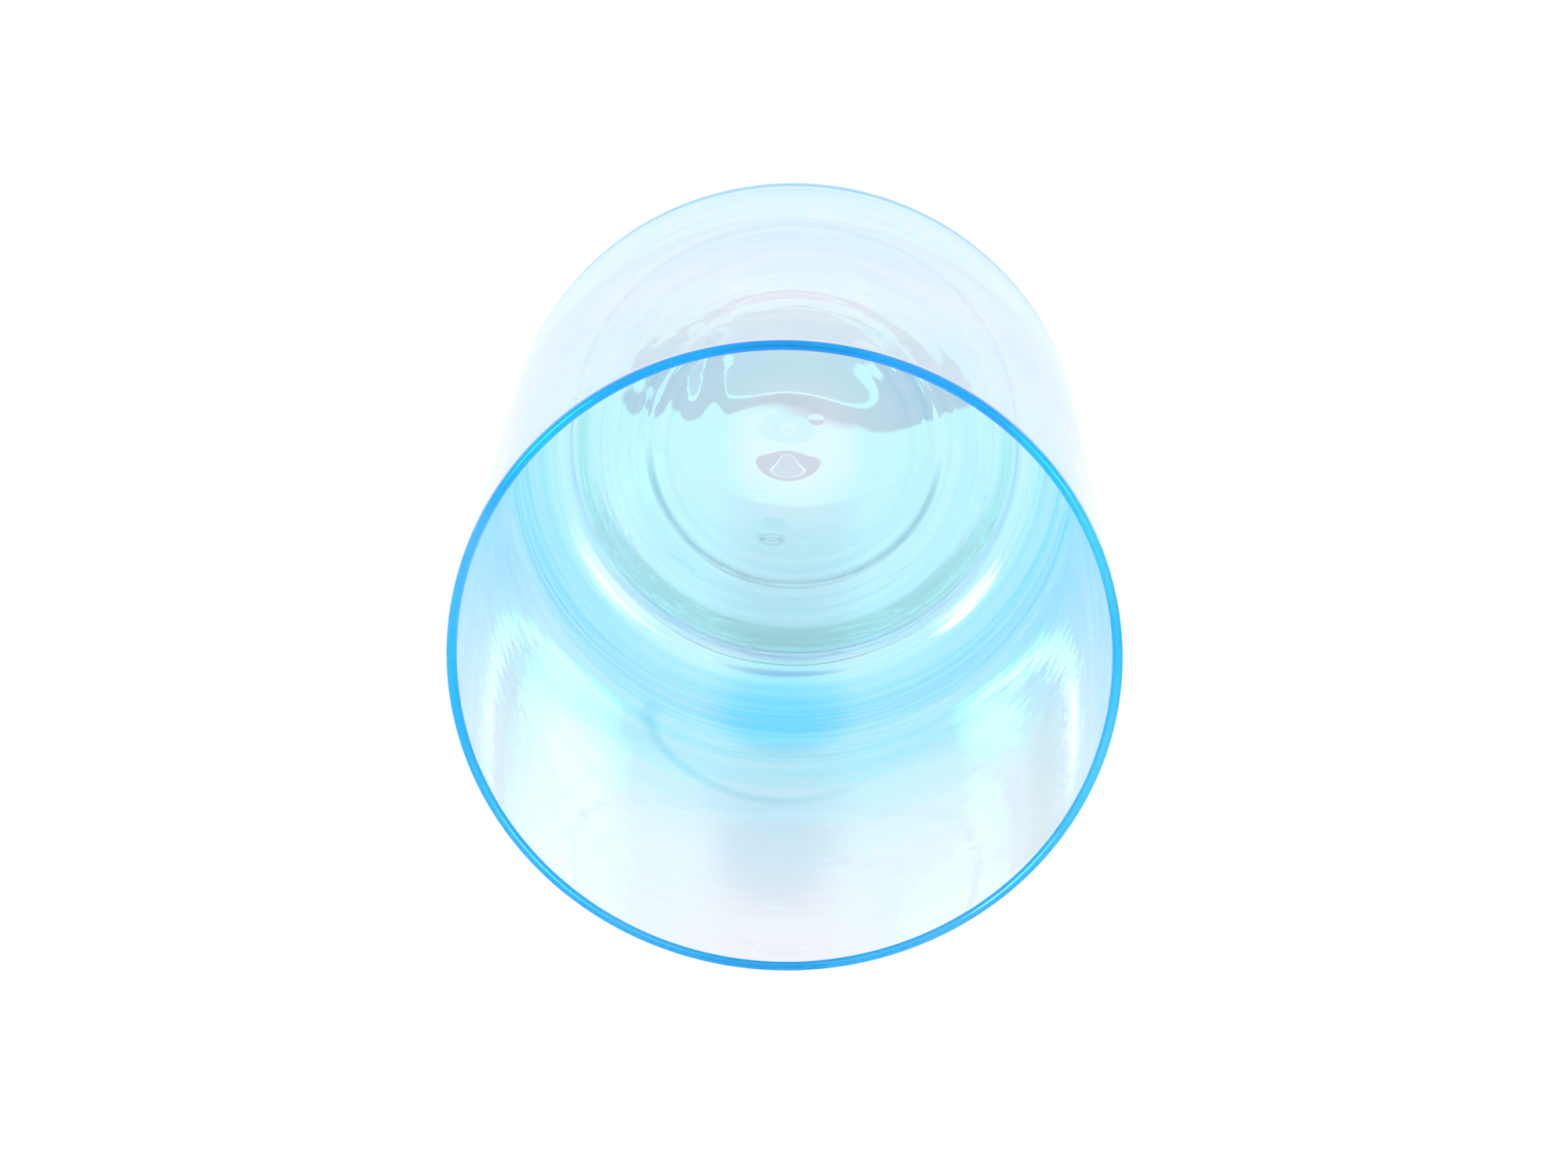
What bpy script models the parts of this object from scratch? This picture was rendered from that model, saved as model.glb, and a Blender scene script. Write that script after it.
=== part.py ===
"""A singing bowl of clear blue quartz glass: one turned piece, closed at the foot and open at the mouth.

The bowl stands upright on its flat foot. +Z is its turning axis, pointing out of the mouth, and the
origin is the centre of the foot. Sizes are in metres.
"""

import math

import bpy

# Driving dimensions of the bowl
MOUTH_RADIUS = 0.1016  # outside of the rim, an eight inch bowl
HEIGHT = 0.2157
WALL = 0.0030
FLOOR = 0.0056  # glass in the middle of the foot, thicker than the wall
TAPER = 0.0019  # how much narrower the wall is at the heel than at the rim
HEEL_ROUND = 0.0225  # outer corner between wall and foot
INNER_HEEL_ROUND = 0.0180

# Rings left by turning, on the inside of the floor
BOSS_RADIUS = 0.49 * MOUTH_RADIUS  # a low swell in the middle, out to a shallow groove
BOSS_RISE = 0.0009
RING_RADIUS = 0.72 * MOUTH_RADIUS  # a low ridge inside the heel
RING_RISE = 0.0007
RING_WIDTH = 0.0055
DIMPLE_RADIUS = 0.0070  # the pip where the glass was closed
DIMPLE_DEPTH = 0.0005

# How finely the curved surfaces are cut
SEGMENTS = 80
FLOOR_STEPS = 16
HEEL_STEPS = 8
WALL_STEPS = 5
RIM_STEPS = 10

MERGE = 0.00001  # joins the ends of the profile on the axis

# Clear glass, tinted sky blue
TINT = (0.62, 0.87, 0.98, 1.0)
ROUGHNESS = 0.02
GLASS_IOR = 1.46


def clear_scene():
    for obj in list(bpy.data.objects):
        bpy.data.objects.remove(obj)


def outer_radius(z):
    """Radius of the outside of the wall at this height."""
    down = (HEIGHT - z) / (HEIGHT - HEEL_ROUND)
    return MOUTH_RADIUS - TAPER * down


def bump(offset, width):
    """A smooth hill, 1 at its middle and 0 from one width away."""
    if abs(offset) >= width:
        return 0.0
    return 0.5 + 0.5 * math.cos(math.pi * offset / width)


def floor_height(radius):
    """Inside of the floor: the middle swell with its pip, then the ridge before the heel."""
    swell = BOSS_RISE * bump(radius, BOSS_RADIUS)
    pip = DIMPLE_DEPTH * bump(radius, DIMPLE_RADIUS)
    ridge = RING_RISE * bump(radius - RING_RADIUS, RING_WIDTH)
    return FLOOR + swell - pip + ridge


def arc(centre, radius, start, end, steps):
    """Points along a circle's arc, from start to end in degrees, both ends included."""
    angles = (math.radians(start + (end - start) * i / steps) for i in range(steps + 1))
    return [(centre[0] + radius * math.cos(a), centre[1] + radius * math.sin(a)) for a in angles]


def straight(start, end, steps):
    """Points between two points, leaving both of them out."""
    return [
        (start[0] + (end[0] - start[0]) * i / steps, start[1] + (end[1] - start[1]) * i / steps)
        for i in range(1, steps)
    ]


def bowl_profile():
    """Half section as (radius, height): across the floor, up the inside, over the rim, down the outside."""
    inner_heel_radius = outer_radius(FLOOR + INNER_HEEL_ROUND) - WALL
    inner_heel_centre = (inner_heel_radius - INNER_HEEL_ROUND, FLOOR + INNER_HEEL_ROUND)
    floor = [
        (inner_heel_centre[0] * i / FLOOR_STEPS, floor_height(inner_heel_centre[0] * i / FLOOR_STEPS))
        for i in range(FLOOR_STEPS)
    ]
    inner_heel = arc(inner_heel_centre, INNER_HEEL_ROUND, -90, 0, HEEL_STEPS)

    lip = WALL / 2
    rim = arc((MOUTH_RADIUS - lip, HEIGHT - lip), lip, 180, 0, RIM_STEPS)

    heel_centre = (outer_radius(HEEL_ROUND) - HEEL_ROUND, HEEL_ROUND)
    outer_heel = arc(heel_centre, HEEL_ROUND, 0, -90, HEEL_STEPS)

    inner_wall = straight(inner_heel[-1], rim[0], WALL_STEPS)
    outer_wall = straight(rim[-1], outer_heel[0], WALL_STEPS)
    foot_centre = [(0.0, 0.0)]
    return floor + inner_heel + inner_wall + rim + outer_wall + outer_heel + foot_centre


def glass_material():
    material = bpy.data.materials.new("blue_quartz_glass")
    material.use_nodes = True
    shader = material.node_tree.nodes["Principled BSDF"]
    shader.inputs["Base Color"].default_value = TINT
    shader.inputs["Roughness"].default_value = ROUGHNESS
    shader.inputs["Metallic"].default_value = 0.0
    shader.inputs["Transmission Weight"].default_value = 1.0
    shader.inputs["IOR"].default_value = GLASS_IOR
    return material


def turned(name, profile, material):
    """Turns a half section round the Z axis into a closed solid."""
    mesh = bpy.data.meshes.new(name)
    points = [(radius, 0.0, height) for radius, height in profile]
    edges = [(i, i + 1) for i in range(len(points) - 1)]
    mesh.from_pydata(points, edges, [])
    mesh.materials.append(material)
    obj = bpy.data.objects.new(name, mesh)
    bpy.context.scene.collection.objects.link(obj)

    screw = obj.modifiers.new("turn", "SCREW")
    screw.axis = "Z"
    screw.steps = SEGMENTS
    screw.render_steps = SEGMENTS
    screw.use_merge_vertices = True
    screw.merge_threshold = MERGE
    screw.use_smooth_shade = True
    return obj


def main():
    clear_scene()
    turned("bowl", bowl_profile(), glass_material())


main()
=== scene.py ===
"""Looks of the singing bowl: clear sky-blue quartz glass with an iridescent coating, in a white studio.

The bowl is turned again here from the CAD sizes, much finer, with the waves and rings of hand-worked glass
in its real surface. Sizes are in metres, and the frame is the CAD's: +Z up, the foot's centre at the origin.
"""

import math

import bpy
import numpy as np
from mathutils import Matrix, Vector


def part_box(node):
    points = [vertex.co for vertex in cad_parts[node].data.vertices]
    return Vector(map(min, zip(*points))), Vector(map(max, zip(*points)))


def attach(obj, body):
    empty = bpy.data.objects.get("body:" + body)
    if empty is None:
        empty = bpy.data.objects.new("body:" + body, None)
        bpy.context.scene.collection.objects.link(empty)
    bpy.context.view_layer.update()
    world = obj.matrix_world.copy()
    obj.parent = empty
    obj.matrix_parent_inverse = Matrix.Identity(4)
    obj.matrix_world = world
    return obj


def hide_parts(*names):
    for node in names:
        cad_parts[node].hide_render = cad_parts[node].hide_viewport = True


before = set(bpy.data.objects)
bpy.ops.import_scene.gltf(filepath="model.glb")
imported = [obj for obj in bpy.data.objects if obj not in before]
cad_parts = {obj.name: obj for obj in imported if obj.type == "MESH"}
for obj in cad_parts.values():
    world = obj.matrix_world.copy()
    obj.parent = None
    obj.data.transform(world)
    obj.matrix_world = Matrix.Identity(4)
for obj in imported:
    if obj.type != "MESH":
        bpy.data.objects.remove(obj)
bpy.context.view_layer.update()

# Bowl, as in the CAD: the width and height come from its node's box
LOW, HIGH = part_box("bowl")
MOUTH_RADIUS = (HIGH.x - LOW.x) / 2
HEIGHT = HIGH.z
WALL = 0.0030
FLOOR = 0.0056
TAPER = 0.0019
HEEL_ROUND = 0.0225
INNER_HEEL_ROUND = 0.0180

SEGMENTS = 288
ROW_STEP = 0.0004  # how far apart the rows of the mesh are on the floor and heel
WALL_ROW_STEP = 0.0030
RIM_STEPS = 18


def outer_radius(z):
    """Radius of the outside of the wall at this height."""
    return MOUTH_RADIUS - TAPER * (HEIGHT - z) / (HEIGHT - HEEL_ROUND)


def hill(offset, width):
    """A smooth hill, 1 at its middle and 0 from one width away. It takes numbers or arrays."""
    t = np.clip(np.abs(offset) / width, 0.0, 1.0)
    return 0.5 + 0.5 * np.cos(math.pi * t)


def ramp(x, low, high):
    """0 below low, 1 above high, and smooth between them."""
    t = np.clip((x - low) / (high - low), 0.0, 1.0)
    return t * t * (3 - 2 * t)


def arc(centre, radius, start, end, steps):
    angles = np.radians(np.linspace(start, end, steps + 1))
    return np.c_[centre[0] + radius * np.cos(angles), centre[1] + radius * np.sin(angles)]


def straight(start, end, step):
    """Points between two points, about a step apart, leaving both of them out."""
    start, end = np.array(start), np.array(end)
    count = max(int(np.linalg.norm(end - start) / step), 2)
    t = np.linspace(0, 1, count + 1)[1:-1, None]
    return start + (end - start) * t


def bowl_profile():
    """The half section as rows of (radius, height) from the middle of the floor, up the inside, over the rim
    and down the outside to the middle of the foot, with an index where the outside begins."""
    inner_radius = outer_radius(FLOOR + INNER_HEEL_ROUND) - WALL
    inner_centre = (inner_radius - INNER_HEEL_ROUND, FLOOR + INNER_HEEL_ROUND)
    heel_rows = int(INNER_HEEL_ROUND * math.pi / 2 / ROW_STEP)
    inner_heel = arc(inner_centre, INNER_HEEL_ROUND, -90, 0, heel_rows)
    floor = np.vstack([[(0.0, FLOOR)], straight((0.0, FLOOR), inner_heel[0], ROW_STEP)])
    lip = WALL / 2
    rim = arc((MOUTH_RADIUS - lip, HEIGHT - lip), lip, 180, 0, RIM_STEPS)
    outer_centre = (outer_radius(HEEL_ROUND) - HEEL_ROUND, HEEL_ROUND)
    outer_heel = arc(outer_centre, HEEL_ROUND, 0, -90, int(HEEL_ROUND * math.pi / 4 / ROW_STEP))
    inner_wall = straight(inner_heel[-1], rim[0], WALL_ROW_STEP)
    outer_wall = straight(rim[-1], outer_heel[0], WALL_ROW_STEP)
    foot = np.vstack([straight(outer_heel[-1], (0.0, 0.0), 5 * ROW_STEP), [(0.0, 0.0)]])
    inside = np.vstack([floor, inner_heel, inner_wall, rim[: RIM_STEPS // 2]])
    outside = np.vstack([rim[RIM_STEPS // 2 :], outer_wall, outer_heel, foot])
    return np.vstack([inside, outside]), len(inside)


def turned_mesh(name, rows, shift):
    """Turns the rows round Z. shift(rows, angle) gives each row's small move (dr, dz) at that angle."""
    angles = np.arange(SEGMENTS) * 2 * math.pi / SEGMENTS
    body = rows[1:-1]
    rings = []
    for angle in angles:
        move = shift(body, angle)
        r, z = body[:, 0] + move[:, 0], body[:, 1] + move[:, 1]
        rings.append(np.c_[r * math.cos(angle), r * math.sin(angle), z])
    points = np.array(rings)  # segment, row, xyz
    count = len(body)
    first, last = SEGMENTS * count, SEGMENTS * count + 1
    middle_move = shift(rows[[0, -1]], 0.0)
    ends = [(0, 0, rows[0, 1] + middle_move[0, 1]), (0, 0, rows[-1, 1] + middle_move[1, 1])]
    vertices = np.vstack([points.reshape(-1, 3), ends])
    faces = []
    for s in range(SEGMENTS):
        here, there = s * count, (s + 1) % SEGMENTS * count
        faces.append((first, here, there))
        faces += [(here + i, here + i + 1, there + i + 1, there + i) for i in range(count - 1)]
        faces.append((here + count - 1, last, there + count - 1))
    mesh = bpy.data.meshes.new(name)
    mesh.from_pydata(vertices.tolist(), [], faces)
    mesh.shade_smooth()
    return mesh


# The hand-worked floor: a low flat-topped swell, shallow oval dips, turned grooves, gentle rises towards the
# heel and slow waves. A width is the distance from the middle of a hill or dip to where it ends.
SWELL_WIDTHS, SWELL_TOP, SWELL = (0.075, 0.050), 0.36, 0.00060
DIPS = (
    ((0.0025, 0.0006), (0.0150, 0.0125), 0.00030),
    ((0.0066, 0.0325), (0.0062, 0.0045), 0.00012),
    ((-0.0010, -0.0080), (0.0190, 0.0215), 0.000050),
    ((0.0325, -0.0050), (0.0085, 0.0380), 0.00013),
    ((-0.0072, -0.0112), (0.0030, 0.0018), 0.000015),
)
GROOVES = (  # radius, width and depth
    (0.0570, 0.0040, 0.000012),
    (0.0640, 0.0030, 0.000015),
)
RISES = (  # from this radius to this one, and how much
    (0.0497, 0.0532, 0.00014),
    (0.0670, 0.0785, 0.00036),
)
# The floor starts to climb outside one radius and climbs steadily from the next; then its slope, and how much
# steeper that is towards -Y
CONE = (0.0540, 0.0570, 0.020, 0.013)
WAVES = (  # order, phase, height, the radius where it is highest, and width
    (2, 0.4, 0.000080, 0.040, 0.035),
    (3, 2.1, 0.000060, 0.045, 0.035),
    (5, 1.0, 0.000030, 0.050, 0.030),
    (11, 0.7, 0.000016, 0.056, 0.018),
    (19, 2.2, 0.000008, 0.056, 0.015),
    (31, 0.1, 0.000003, 0.056, 0.013),
)
# Fine turning lines along the half section: spacing, phase and height, with how far they wander round it
LINES = (
    (0.0093, 0.3, 0.0000180, 1.1),
    (0.0047, 1.9, 0.0000110, 0.7),
    (0.0021, 4.0, 0.0000040, 0.4),
)
FRONT_WAVES = 0.15  # how much of the waves and lines is left towards -Y, where the glass is smoother
# Uneven ripples in the heel and wall: order round the bowl, spacing along the half section, phase and height
RIPPLES = (
    (7, 0.031, 0.4, 0.0000240),
    (-13, 0.019, 2.7, 0.0000160),
    (23, 0.013, 5.1, 0.0000045),
    (-37, 0.009, 1.3, 0.0000015),
)


def ripples(along, angle):
    """Slanting waves that break up the rings; along is as in turning_lines."""
    rise = np.zeros(len(along))
    for order, spacing, phase, height in RIPPLES:
        rise = rise + height * np.sin(order * angle + 2 * math.pi * along / spacing + phase)
    return rise


def turning_lines(along, angle):
    """Fine concentric lines; along is the distance from the middle of the floor up the wall."""
    rise = np.zeros(len(along))
    for spacing, phase, height, wander in LINES:
        drift = wander * math.sin(angle * 2 + phase) + 0.6 * wander * math.cos(angle * 3 - phase)
        rise = rise + height * np.sin(2 * math.pi * along / spacing + phase + drift)
    return rise


def climb(r, angle):
    """The steady climb of the outer floor, with a rounded start."""
    start, steady, slope, tilt = CONE
    slope = slope - tilt * math.sin(angle)
    rise = slope * np.clip(r - start, 0.0, None) ** 2 / (2 * (steady - start)) * (r < steady)
    return rise + slope * (r - (start + steady) / 2) * (r >= steady)


def glass_shift(outside_from):
    """How the real surface leaves the plain turned shape."""

    def shift(rows, angle):
        r, z = rows[:, 0], rows[:, 1]
        inside = np.arange(len(rows)) < outside_from - 1
        if len(rows) == 2:
            inside = np.array([True, False])
        x, y = r * math.cos(angle), r * math.sin(angle)
        rise = SWELL * (1 - ramp(np.hypot(x / SWELL_WIDTHS[0], y / SWELL_WIDTHS[1]), SWELL_TOP, 1.0))
        for place, widths, depth in DIPS:
            rise = rise - depth * hill(np.hypot((x - place[0]) / widths[0], (y - place[1]) / widths[1]), 1.0)
        for radius, width, depth in GROOVES:
            rise = rise - depth * hill(r - radius, width)
        for low, high, height in RISES:
            rise = rise + height * ramp(r, low, high)
        rise = rise + climb(r, angle)
        smooth_front = FRONT_WAVES + (1 - FRONT_WAVES) * ramp(y, -0.052, -0.022)
        for order, phase, height, radius, width in WAVES:
            rise = rise + height * math.cos(order * angle + phase) * hill(r - radius, width) * smooth_front
        upright = ramp(z, FLOOR + 0.002, FLOOR + 0.016)
        below_rim = 1 - ramp(z, HEIGHT - 0.020, HEIGHT - 0.004)
        growing = 0.35 * ramp(r, 0.036, 0.050) + 0.65 * ramp(r, 0.064, 0.080)
        lines = turning_lines(r + z, angle) * below_rim * growing * smooth_front
        uneven = ramp(r, 0.066, 0.078) * (1 - 0.6 * ramp(z, 0.060, 0.110)) * below_rim
        lines = lines + ripples(r + z, angle) * uneven * smooth_front
        rise = rise * (1 - ramp(z, FLOOR + 0.003, FLOOR + 0.012)) + lines * (1 - upright)
        return np.c_[-lines * upright * inside, rise * inside]

    return shift


# Material
def principled(material):
    return material.node_tree.nodes["Principled BSDF"]


class Nodes:
    """Short forms for adding and linking shader nodes."""

    def __init__(self, tree):
        self.tree = tree

    def add(self, kind, **values):
        node = self.tree.nodes.new(kind)
        for key, value in values.items():
            setattr(node, key, value)
        return node

    def link(self, value, socket):
        if isinstance(value, bpy.types.NodeSocket):
            self.tree.links.new(value, socket)
        else:
            socket.default_value = value

    def math(self, operation, *values, clamp=False):
        node = self.add("ShaderNodeMath", operation=operation, use_clamp=clamp)
        for value, socket in zip(values, node.inputs):
            self.link(value, socket)
        return node.outputs["Value"]

    def ranged(self, value, low, high, to_low=0.0, to_high=1.0):
        """Takes low..high smoothly to to_low..to_high."""
        node = self.add("ShaderNodeMapRange", interpolation_type="SMOOTHSTEP")
        for socket, given in zip(node.inputs, (value, low, high, to_low, to_high)):
            self.link(given, socket)
        return node.outputs["Result"]

    def dot(self, a, b):
        node = self.add("ShaderNodeVectorMath", operation="DOT_PRODUCT")
        self.link(a, node.inputs[0])
        self.link(b, node.inputs[1])
        return node.outputs["Value"]

    def blend(self, factor, a, b):
        """a where factor is 0, b where it is 1, for plain numbers."""
        node = self.add("ShaderNodeMix", data_type="FLOAT")
        for socket, given in zip((node.inputs[0], node.inputs[2], node.inputs[3]), (factor, a, b)):
            self.link(given, socket)
        return node.outputs[0]

    def ramp(self, height, stops):
        """Colours at heights, as stops of a colour ramp over the whole height."""
        node = self.add("ShaderNodeValToRGB")
        elements = node.color_ramp.elements
        elements.remove(elements[1])
        for index, (place, colour) in enumerate(stops):
            element = elements[0] if index == 0 else elements.new(place / HEIGHT)
            element.position = place / HEIGHT
            element.color = (*colour, 1.0)
        self.link(height, node.inputs["Fac"])
        return node.outputs["Color"]

    def mix(self, factor, a, b, blend_type="MIX"):
        node = self.add("ShaderNodeMix", data_type="RGBA", blend_type=blend_type)
        self.link(factor, node.inputs["Factor"])
        self.link(a, [i for i in node.inputs if i.name == "A" and i.type == "RGBA"][0])
        self.link(b, [i for i in node.inputs if i.name == "B" and i.type == "RGBA"][0])
        return [o for o in node.outputs if o.type == "RGBA"][0]

    def multiply(self, factor, a, b):
        return self.mix(factor, a, b, "MULTIPLY")

    def product(self, *values):
        result = values[0]
        for value in values[1:]:
            result = self.math("MULTIPLY", result, value)
        return result

    def from_middle(self, a, b, middle, half):
        """Distance from the middle of an oval, 1 at its half widths."""
        across = self.math("DIVIDE", self.math("SUBTRACT", a, middle[0]), half[0])
        up = self.math("DIVIDE", self.math("SUBTRACT", b, middle[1]), half[1])
        squares = self.math("ADD", self.math("MULTIPLY", across, across), self.math("MULTIPLY", up, up))
        return self.math("SQRT", squares)

    def streaks(self, x, y, along, round_scale, along_scale):
        """Noise drawn out round the bowl, 0 to 1 with a middle of 0.5."""
        vector = self.add("ShaderNodeCombineXYZ")
        self.link(self.math("MULTIPLY", x, round_scale), vector.inputs[0])
        self.link(self.math("MULTIPLY", y, round_scale), vector.inputs[1])
        self.link(self.math("MULTIPLY", along, along_scale), vector.inputs[2])
        noise = self.add("ShaderNodeTexNoise")
        self.link(vector.outputs[0], noise.inputs["Vector"])
        self.link(1.0, noise.inputs["Scale"])
        self.link(3.0, noise.inputs["Detail"])
        return noise.outputs["Fac"]


# Tint of the glass at heights in metres, with turned lines of deeper colour in the heel and above it
TINTS = (
    (0.0040, (0.58, 0.84, 0.91)),
    (0.0075, (0.50, 0.84, 0.97)),
    (0.0092, (0.40, 0.82, 0.99)),
    (0.0098, (0.22, 0.66, 0.97)),
    (0.0106, (0.38, 0.81, 0.99)),
    (0.0138, (0.36, 0.80, 1.00)),
    (0.0144, (0.26, 0.72, 0.98)),
    (0.0152, (0.38, 0.81, 1.00)),
    (0.0200, (0.32, 0.77, 1.00)),
    (0.0450, (0.40, 0.81, 1.00)),
    (0.0900, (0.58, 0.88, 0.98)),
    (0.1400, (0.88, 0.94, 0.99)),
    (0.2050, (0.97, 0.94, 0.98)),
)
# Painted sheen and shade of the coating towards -Y, the side the camera faces: mint low down, lavender and
# faint pink above
SHEEN_TINTS = (
    (0.0080, (0.93, 0.970, 1.000)),
    (0.0500, (0.92, 0.965, 1.000)),
    (0.0660, (0.90, 0.880, 0.980)),
    (0.0700, (0.75, 0.785, 0.955)),
    (0.0740, (0.85, 0.825, 0.955)),
    (0.1000, (0.84, 0.800, 0.945)),
    (0.1200, (0.93, 0.805, 0.935)),
    (0.1400, (0.88, 0.850, 0.970)),
    (0.1600, (0.93, 0.845, 0.935)),
    (0.1850, (0.89, 0.865, 0.920)),
)
TINT_DRIFT = 0.030  # how far streaks carry it up and down
SHEEN_DRIFT = 0.3  # how much of that drift the painted sheen tints have
FRONT_STRENGTH = 0.22  # how much of the blue is left towards -Y, under the painted sheen
SIDE_TINT = (0.82, 0.89, 1.0, 1.0)  # bluer glass half way up the wall, towards +X and -X
FIGURE_REFLECTION_TINT = (0.50, 0.86, 1.0, 1.0)  # painted reflection of the dark figure in front: the deepest colour, low on the +Y side
FIGURE_REFLECTION = ((0.0, 0.024), (0.032, 0.034))  # its middle in x and z, and how far it reaches across and up
HEEL_LINE = (0.0778, 0.0788, 0.0798)  # a lavender line where the heel begins: radii of its start, middle, end
HEEL_LINE_TINT = (0.68, 0.73, 0.95, 1.0)
BAND_RADII = (0.0660, 0.0690, 0.0768, 0.0780)  # a grey-green turned band, with its soft edges
BAND_TAPER = 0.0050  # it narrows by this much towards its ends at the sides
BAND_TINT = (0.76, 0.90, 0.85, 1.0)
CENTRE_TINT = (0.82, 0.87, 0.93, 1.0)  # paler and more lavender in the middle of the floor
CENTRE = (0.012, 0.031, 0.62)  # radii between which that fades, and how strong it is
BAND_REFLECTION = ((0.0, 0.050), (0.047, 0.042))  # a faint oval line on the +Y wall, a painted reflection of the grey-green band, given the same way
BAND_REFLECTION_EDGE = 0.11
BAND_REFLECTION_TINT = (0.71, 0.865, 0.905, 1.0)
CRESCENT_RADII = (0.0500, 0.0508, 0.0523, 0.0531)  # a broken dark line past the swell, with its soft edges
CRESCENT_TINT = (0.50, 0.60, 0.64, 1.0)
MARK = ((0.0066, 0.0349), (0.0038, 0.0013))  # a small oval mark on the floor: middle and half widths
MARK_TINT = (0.66, 0.74, 0.76, 1.0)
SIDE_LINE = (0.0300, 0.0314, 0.0328)  # a deep blue line low on the sides: heights of start, middle and end
SIDE_LINE_TINT = (0.40, 0.66, 0.93, 1.0)
SHADE_PATCH = ((0.0, 0.136), (0.030, 0.060))  # painted shade: a soft grey-blue patch on the +Y side, given the same way
SHADE_PATCH_TINT = (0.84, 0.92, 0.98, 1.0)
RINGS_TINT = (0.84, 0.94, 0.98, 1.0)  # faint turned rings on the floor outside the swell
FILM = 188.0  # thickness of the coating, in nanometres, and how unevenly it lies on the floor and wall
FLOOR_FILM_SPREAD = 8.0
WALL_FILM_SPREAD = 40.0
FILM_CONTRAST = 4.0  # widens the middle of the noise's range
FILM_IOR = 2.0
GLASS_IOR = 1.46
DEPTH_COLOUR = (0.086, 0.736, 0.969, 1.0)  # the blue that builds up where light runs far through the glass
DEPTH_DENSITY = 7.0


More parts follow.
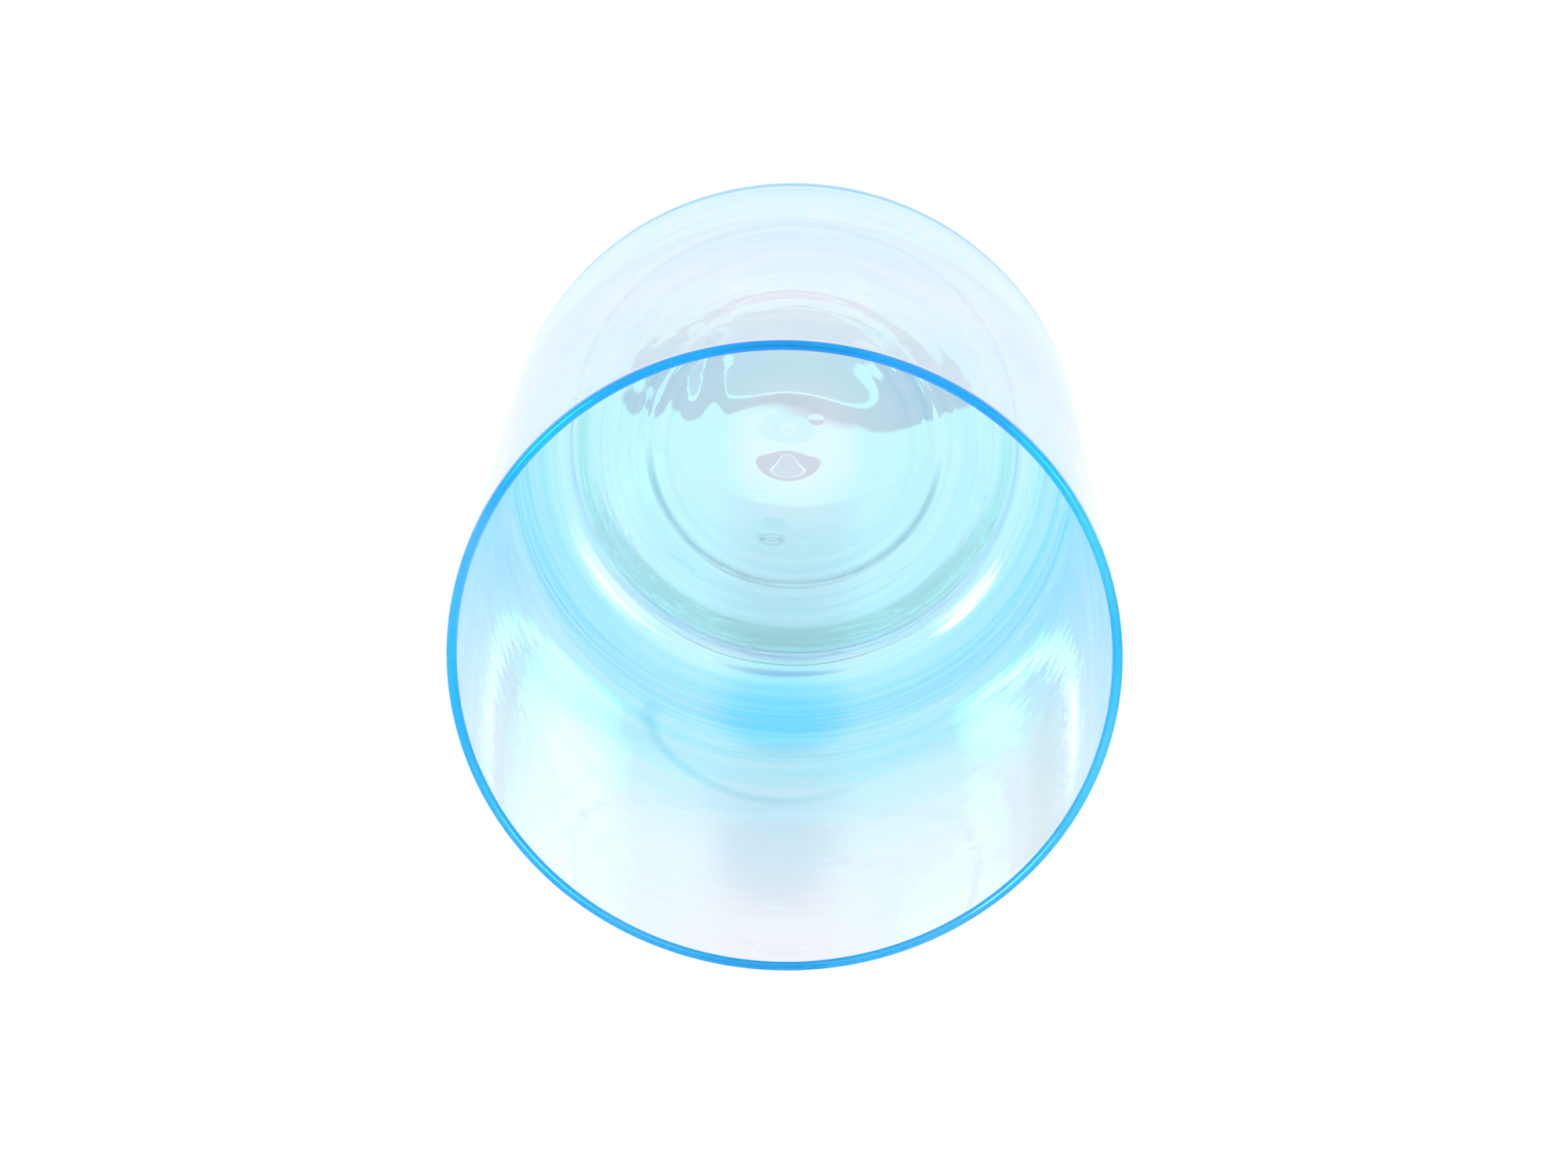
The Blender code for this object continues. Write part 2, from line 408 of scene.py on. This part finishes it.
def quartz_glass():
    """The glass. The bounds in it are places in metres, along x, y, z or out from the axis."""
    material = bpy.data.materials.new("quartz_glass")
    material.use_nodes = True
    tree = material.node_tree
    nodes = Nodes(tree)
    shader = principled(material)
    place = nodes.add("ShaderNodeTexCoord").outputs["Object"]
    split = nodes.add("ShaderNodeSeparateXYZ")
    nodes.link(place, split.inputs[0])
    x, y, z = split.outputs
    radius = nodes.from_middle(x, y, (0.0, 0.0), (1.0, 1.0))
    along = nodes.math("ADD", z, radius)  # distance along the half section, near enough
    broad = nodes.streaks(x, y, along, 6.0, 42.0)
    fine = nodes.streaks(x, y, along, 9.0, 330.0)

    unlevel = nodes.math("SUBTRACT", broad, 0.5)
    drift = nodes.math("MULTIPLY", unlevel, nodes.ranged(z, 0.035, 0.080, 0.0, TINT_DRIFT))
    level = nodes.math("DIVIDE", nodes.math("ADD", z, drift), HEIGHT)
    on_floor = nodes.ranged(z, 0.0085, 0.0100, 1.0, 0.0)
    strength = nodes.blend(
        on_floor,
        nodes.ranged(y, -0.060, 0.005, FRONT_STRENGTH, 1.0),
        nodes.ranged(y, -0.056, -0.030, FRONT_STRENGTH, 1.0),
    )
    # painted highlight: less blue half way up the +X wall, where a lamp's reflection pales the glass
    painted_highlight = nodes.product(
        nodes.ranged(x, 0.050, 0.090, 0.0, 0.35),
        nodes.ranged(z, 0.030, 0.045),
        nodes.ranged(z, 0.080, 0.100, 1.0, 0.0),
    )
    strength = nodes.math("MULTIPLY", strength, nodes.math("SUBTRACT", 1.0, painted_highlight))
    streak = nodes.ranged(fine, 0.30, 0.70, 0.68, 1.0)
    streak = nodes.blend(nodes.ranged(z, 0.008, 0.016), 1.0, streak)
    # painted sheen and shade towards -Y, laid over the blue where strength falls
    sheen_level = nodes.math("DIVIDE", nodes.math("ADD", z, nodes.math("MULTIPLY", drift, SHEEN_DRIFT)), HEIGHT)
    strength = nodes.math("MULTIPLY", strength, streak)
    tint = nodes.mix(strength, nodes.ramp(sheen_level, SHEEN_TINTS), nodes.ramp(level, TINTS))

    side = nodes.product(
        nodes.ranged(nodes.math("ABSOLUTE", x), 0.078, 0.097),
        nodes.ranged(z, 0.030, 0.060),
        nodes.ranged(z, 0.110, 0.190, 1.0, 0.0),
    )
    tint = nodes.multiply(side, tint, SIDE_TINT)
    # painted reflection: deeper blue low on the +Y wall, where the dark figure in front is reflected
    away = nodes.from_middle(x, z, *FIGURE_REFLECTION)
    near = nodes.ranged(nodes.product(away, away), 0.0, 1.0, 1.0, 0.0)
    figure_reflection = nodes.product(near, nodes.ranged(y, 0.075, 0.088))
    tint = nodes.multiply(figure_reflection, tint, FIGURE_REFLECTION_TINT)

    start, middle, end = SIDE_LINE
    side_line = nodes.product(
        nodes.ranged(nodes.math("ABSOLUTE", x), 0.066, 0.082),
        nodes.ranged(z, start, middle),
        nodes.ranged(z, middle, end, 1.0, 0.0),
        nodes.ranged(y, -0.020, 0.010),
    )
    tint = nodes.multiply(side_line, tint, SIDE_LINE_TINT)
    # painted shade: a soft grey-blue patch on the +Y wall
    away = nodes.from_middle(x, z, *SHADE_PATCH)
    near = nodes.ranged(nodes.product(away, away), 0.0, 1.0, 1.0, 0.0)
    shade_patch = nodes.product(near, near, nodes.ranged(y, 0.080, 0.090))
    tint = nodes.multiply(shade_patch, tint, SHADE_PATCH_TINT)

    # painted reflection of the grey-green floor band: a faint oval line on the +Y wall
    off = nodes.math("ABSOLUTE", nodes.math("SUBTRACT", nodes.from_middle(x, z, *BAND_REFLECTION), 1.0))
    band_reflection = nodes.product(
        nodes.ranged(off, 0.0, BAND_REFLECTION_EDGE, 1.0, 0.0),
        nodes.ranged(y, 0.070, 0.080),
        nodes.ranged(z, 0.030, 0.045),
        nodes.ranged(x, -0.045, 0.010),
    )
    tint = nodes.multiply(band_reflection, tint, BAND_REFLECTION_TINT)

    centre = nodes.math("MULTIPLY", nodes.ranged(radius, CENTRE[0], CENTRE[1], CENTRE[2], 0.0), on_floor)
    tint = nodes.mix(centre, tint, CENTRE_TINT)
    rings = nodes.product(nodes.ranged(fine, 0.46, 0.60), nodes.ranged(radius, 0.034, 0.046), on_floor)
    tint = nodes.multiply(rings, tint, RINGS_TINT)
    behind = nodes.ranged(y, 0.0, 0.070)
    start, middle, end = HEEL_LINE
    line = nodes.product(
        nodes.ranged(radius, start, middle),
        nodes.ranged(radius, middle, end, 1.0, 0.0),
        on_floor,
    )
    tint = nodes.multiply(line, tint, HEEL_LINE_TINT)
    taper = nodes.math("MULTIPLY", nodes.math("SUBTRACT", 1.0, behind), BAND_TAPER)
    narrowed = nodes.math("SUBTRACT", radius, taper)
    low, in_low, in_high, high = BAND_RADII
    band = nodes.product(
        nodes.ranged(narrowed, low, in_low),
        nodes.ranged(radius, in_high, high, 1.0, 0.0),
        nodes.ranged(y, -0.030, 0.000),
        on_floor,
    )
    tint = nodes.multiply(band, tint, BAND_TINT)
    low, in_low, in_high, high = CRESCENT_RADII
    crescent = nodes.product(
        nodes.ranged(radius, low, in_low),
        nodes.ranged(radius, in_high, high, 1.0, 0.0),
        nodes.ranged(y, -0.002, 0.020),
        nodes.ranged(broad, 0.36, 0.50),
    )
    tint = nodes.multiply(crescent, tint, CRESCENT_TINT)
    off = nodes.math("ABSOLUTE", nodes.math("SUBTRACT", nodes.from_middle(x, y, *MARK), 1.0))
    mark = nodes.math("MULTIPLY", nodes.ranged(off, 0.10, 0.45, 1.0, 0.0), on_floor)
    tint = nodes.multiply(mark, tint, MARK_TINT)
    tree.links.new(tint, shader.inputs["Base Color"])

    spread = nodes.ranged(z, 0.008, 0.05, FLOOR_FILM_SPREAD, WALL_FILM_SPREAD)
    uneven = nodes.math("MULTIPLY", unlevel, FILM_CONTRAST)
    film = nodes.math("ADD", FILM, nodes.math("MULTIPLY", uneven, spread))
    tree.links.new(film, shader.inputs["Thin Film Thickness"])
    shader.inputs["Thin Film IOR"].default_value = FILM_IOR
    shader.inputs["Roughness"].default_value = 0.0
    shader.inputs["IOR"].default_value = GLASS_IOR
    shader.inputs["Transmission Weight"].default_value = 1.0
    depth = tree.nodes.new("ShaderNodeVolumeAbsorption")
    depth.inputs["Color"].default_value = DEPTH_COLOUR
    depth.inputs["Density"].default_value = DEPTH_DENSITY
    output = tree.nodes["Material Output"]
    tree.links.new(depth.outputs["Volume"], output.inputs["Volume"])
    return material


FLOOR_GREY = (0.12, 0.12, 0.12, 1.0)
FLOOR_GLOW = 0.88
FLOOR_SIZE = 12.0
FLOOR_DROP = 0.0004  # keeps it clear of the foot


def floor_material():
    material = bpy.data.materials.new("studio_floor")
    material.use_nodes = True
    shader = principled(material)
    shader.inputs["Base Color"].default_value = FLOOR_GREY
    shader.inputs["Roughness"].default_value = 0.9
    shader.inputs["Specular IOR Level"].default_value = 0.0
    shader.inputs["Emission Color"].default_value = (1.0, 1.0, 1.0, 1.0)
    shader.inputs["Emission Strength"].default_value = FLOOR_GLOW
    return material


# Studio
def add_floor():
    bpy.ops.mesh.primitive_plane_add(size=FLOOR_SIZE, location=(0, 0, -FLOOR_DROP))
    floor = bpy.context.object
    floor.name = "studio_floor"
    floor.data.materials.append(floor_material())


def direction(azimuth, elevation):
    """Unit vector from the bowl; azimuth 0 is +Y and 90 is +X, elevation is up from level, in degrees."""
    a, e = math.radians(azimuth), math.radians(elevation)
    return Vector((math.sin(a) * math.cos(e), math.cos(a) * math.cos(e), math.sin(e)))


# The white room round the bowl: brightness near level and overhead, then round areas in it, each laid over
# the ones before: azimuth, elevation, angular radius and soft edge in degrees, and brightness
ROOM_LEVEL = 1.05
ROOM_OVERHEAD = 1.4
ROOM_RISE = (8, 45)  # elevations between which it brightens
AREAS = (
    (180, 69, 0.4, 13.0, 0.0),  # who stands in front, leaning over
    (0, 80.6, 8.0, 0.3, 0.0),  # what hangs overhead: a dark disc with a bright ring in it
    (0.8, 75.6, 1.85, 0.10, 1.4),
    (0.8, 75.6, 1.57, 0.10, 0.30),
    (104, 56, 2.5, 8.0, 12.0),  # soft lamps on either side
    (-102, 60, 2.0, 11.0, 6.0),
)


def add_world():
    world = bpy.data.worlds.new("studio")
    bpy.context.scene.world = world
    world.use_nodes = True
    nodes = Nodes(world.node_tree)
    background = world.node_tree.nodes["Background"]
    background.inputs["Color"].default_value = (1.0, 1.0, 1.0, 1.0)
    way = nodes.add("ShaderNodeTexCoord").outputs["Generated"]
    height = nodes.dot(way, (0.0, 0.0, 1.0))
    low, high = (math.sin(math.radians(degrees)) for degrees in ROOM_RISE)
    light = nodes.ranged(height, low, high, ROOM_LEVEL, ROOM_OVERHEAD)
    for azimuth, elevation, radius, edge, level in AREAS:
        near = nodes.dot(way, tuple(direction(azimuth, elevation)))
        outer, inner = math.cos(math.radians(radius + edge)), math.cos(math.radians(radius))
        light = nodes.blend(nodes.ranged(near, outer, inner), light, level)
    nodes.link(light, background.inputs["Strength"])


# Camera: from above and a little to the front, upside down, so that the foot lies towards the top edge
CAMERA_PLACE = Vector((0.0, -0.4096, HEIGHT + 1.0386))
CAMERA_AIM = Vector((0.0011, -0.0252, HEIGHT))
CAMERA_ROLL = math.radians(-177.15)
CAMERA_LENS = 85.4


def add_camera():
    data = bpy.data.cameras.new("camera")
    data.lens = CAMERA_LENS
    data.sensor_width = 36.0
    data.clip_end = 50.0
    camera = bpy.data.objects.new("camera", data)
    look = (CAMERA_AIM - CAMERA_PLACE).to_track_quat("-Z", "Y").to_matrix().to_4x4()
    camera.matrix_world = Matrix.Translation(CAMERA_PLACE) @ look @ Matrix.Rotation(CAMERA_ROLL, 4, "Z")
    bpy.context.scene.collection.objects.link(camera)
    bpy.context.scene.camera = camera


def light_paths():
    """Enough bounces for light that runs down inside the wall from the rim to the heel."""
    cycles = bpy.context.scene.cycles
    cycles.max_bounces = 160
    cycles.transmission_bounces = 64
    cycles.glossy_bounces = 128
    cycles.diffuse_bounces = 3
    cycles.volume_bounces = 0
    cycles.transparent_max_bounces = 8
    cycles.caustics_reflective = True
    cycles.caustics_refractive = True
    cycles.blur_glossy = 0.0
    cycles.sample_clamp_indirect = 0.0


def main():
    add_camera()
    rows, outside_from = bowl_profile()
    mesh = turned_mesh("glass_bowl", rows, glass_shift(outside_from))
    bowl = bpy.data.objects.new("glass_bowl", mesh)
    bpy.context.scene.collection.objects.link(bowl)
    mesh.materials.append(quartz_glass())
    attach(bowl, "root")
    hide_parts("bowl")
    add_floor()
    add_world()
    light_paths()
    scene = bpy.context.scene
    scene.view_settings.view_transform = "Standard"
    scene.view_settings.look = "None"


main()
